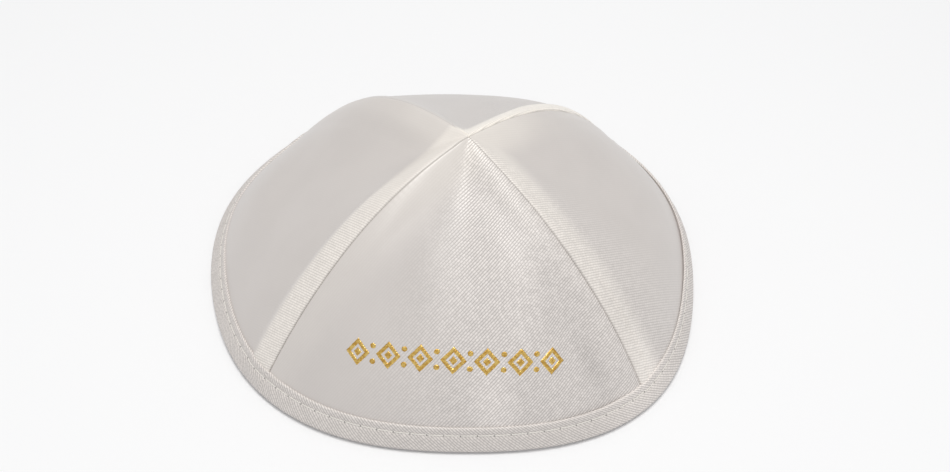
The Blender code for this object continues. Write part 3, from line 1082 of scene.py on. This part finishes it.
def foil_piece(outline, middle, open_share):
    """Points and quads of one thin slab of foil: a closed outline filled from its middle outwards."""
    scales = np.linspace(open_share, 1, FOIL_RINGS)
    flat = middle + scales[:, None, None] * outline
    surface, normal = outer_face(0, *place_on_gore(0, flat))
    top = surface + normal * FOIL_ABOVE
    top[-1] = surface[-1] + normal[-1] * FOIL_ABOVE * 0.5
    bottom = surface - normal * FOIL_BELOW
    rows, columns = flat.shape[:2]
    count = rows * columns
    faces = [grid_faces(rows, columns, 0, closed=True), grid_faces(rows, columns, count, closed=True)]
    edges = (0, rows - 1) if open_share > 0 else (rows - 1,)
    ring = np.arange(columns)
    for row in edges:
        here, following = row * columns + ring, row * columns + (ring + 1) % columns
        faces.append(np.stack((here, following, following + count, here + count), -1))
    points = np.concatenate((top.reshape(-1, 3), bottom.reshape(-1, 3)))
    return points, np.concatenate(faces), np.concatenate((flat.reshape(-1, 2), flat.reshape(-1, 2)))


def ragged(outline, chance):
    """An outline whose points stand in or out a little, as a foil edge does."""
    return outline * (1 + FOIL_RAGGED / np.linalg.norm(outline, axis=1, keepdims=True)
                      * chance.standard_normal((len(outline), 1)))


def build_ornament():
    """Points, quads and map of the whole row: an open lozenge round a small one, and dots between."""
    chance = np.random.default_rng(7)
    corners = np.array(((1, 0), (0, 1), (-1, 0), (0, -1), (1, 0))) * LOZENGE
    share = np.linspace(0, 1, LOZENGE_STEPS + 1)[:-1, None]
    sides = [one * (1 - share) + other * share for one, other in zip(corners[:-1], corners[1:])]
    lozenge = np.concatenate(sides)
    turn = np.linspace(0, 2 * math.pi, DOT_STEPS + 1)[:-1]
    dot = DOT_RADIUS * np.stack((np.cos(turn), np.sin(turn)), -1)
    way = np.array((math.cos(ROW_TILT), math.sin(ROW_TILT)))
    up = np.array((-way[1], way[0]))
    stamps = []
    for i in range(ROW_COUNT):
        middle = np.array(ROW_MIDDLE) + way * ROW_STEP * (i - (ROW_COUNT - 1) / 2)
        stamps.append((lozenge, middle, LOZENGE_OPEN))
        stamps.append((lozenge * LOZENGE_HEART, middle, 0))
        if i < ROW_COUNT - 1:
            for side in (-1, 1):
                stamps.append((dot, middle + way * ROW_STEP / 2 + up * DOT_RISE * side, 0))
    points, faces, flat = [], [], []
    for outline, middle, open_share in stamps:
        place, quads, cloth = foil_piece(ragged(outline, chance), middle, open_share)
        faces.append(quads + sum(map(len, points)))
        points.append(place)
        flat.append(cloth)
    return np.concatenate(points), np.concatenate(faces), {"cloth": np.concatenate(flat)}


def foil_material():
    """Gold foil, mottled and lightly worn, over the ribs of the satin."""
    made, tree, shader = new_material("gold_foil")
    weave = placed(tree, SATIN, Rib_pitch=RIB_PITCH, Rib_angle=math.radians(RIB_ANGLE))
    mottle = soft_noise(tree, *split(tree, mapped(tree, "cloth")), MOTTLE_SCALE, 3.0)
    gold = mixed_colour(tree, map_range(tree, mottle, 0.35, 0.68), DULL_GOLD, BRIGHT_GOLD)
    tree.links.new(gold, shader.inputs["Base Color"])
    tree.links.new(map_range(tree, mottle, 0.35, 0.65, 0.42, 0.26), shader.inputs["Roughness"])
    raise_surface(tree, shader, weave["Height"], RIB_HEIGHT, strength=0.8)
    set_inputs(shader, Metallic=0.85)
    return made


ornament = add_mesh("foil_ornament", (foil_material(),), *build_ornament())
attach(ornament, "root")

# Studio
# A plain pale floor under an even white surround, with one large soft light overhead towards the front.
FLOOR_HALF = 3
FLOOR_DROP = 0.0002
FLOOR_WHITE = (0.904, 0.911, 0.928)
SURROUND_POWER = 0.55
LIGHT_PLACE = (0.02, -0.12, 1.3)
LIGHT_SIZE = 0.55
LIGHT_POWER = 9.2
LIGHT_WHITE = (1.0, 0.985, 0.955)
LIT_POINT = (0, 0, 0.03)

floor_mesh = bpy.data.meshes.new("floor")
corners = [(x * FLOOR_HALF, y * FLOOR_HALF, 0) for x, y in ((-1, -1), (1, -1), (1, 1), (-1, 1))]
floor_mesh.from_pydata(corners, [], [(0, 1, 2, 3)])
floor = in_scene("floor", floor_mesh)
floor.location.z = -FLOOR_DROP
floor_paint, _, floor_shader = new_material("floor_paint")
set_inputs(floor_shader, Base_Color=(*FLOOR_WHITE, 1), Roughness=0.9, Specular_IOR_Level=0.1)
floor_mesh.materials.append(floor_paint)

world = bpy.data.worlds.new("surround")
world.use_nodes = True
set_inputs(world.node_tree.nodes["Background"], Color=(1, 1, 1, 1), Strength=SURROUND_POWER)
bpy.context.scene.world = world

lamp = bpy.data.lights.new("overhead", "AREA")
lamp.size = LIGHT_SIZE
lamp.energy = LIGHT_POWER
lamp.color = LIGHT_WHITE
overhead = in_scene("overhead", lamp)
overhead.location = LIGHT_PLACE
overhead.rotation_euler = (Vector(LIT_POINT) - Vector(LIGHT_PLACE)).to_track_quat("-Z", "Y").to_euler()
bpy.context.scene.view_settings.view_transform = "Standard"

# Camera
# Looks down on the front of the cap from about 49 degrees, as the photograph does. Its focal length and
# the middle of its view are in pixels of the photograph's frame.
VIEW_DISTANCE = 0.50
VIEW_ELEVATION = math.radians(48.8)
VIEW_ROLL = math.radians(1.35)
FRAME_WIDTH = 950
FRAME_HEIGHT = 472
FOCAL_PIXELS = 1257
MIDDLE_X = 454.6
MIDDLE_Y = 253.9
lens = bpy.data.cameras.new("camera")
lens.sensor_width = 36
lens.lens = FOCAL_PIXELS / FRAME_WIDTH * lens.sensor_width
lens.shift_x = (FRAME_WIDTH / 2 - MIDDLE_X) / FRAME_WIDTH
lens.shift_y = (MIDDLE_Y - FRAME_HEIGHT / 2) / FRAME_WIDTH
camera = in_scene("camera", lens)
back = Vector((0, -math.cos(VIEW_ELEVATION), math.sin(VIEW_ELEVATION)))
camera.location = Vector(TO_FRAME) + back * VIEW_DISTANCE
camera.rotation_euler = back.to_track_quat("Z", "Y").to_matrix().to_4x4().to_euler()
camera.rotation_euler.rotate_axis("Z", VIEW_ROLL)
bpy.context.scene.camera = camera
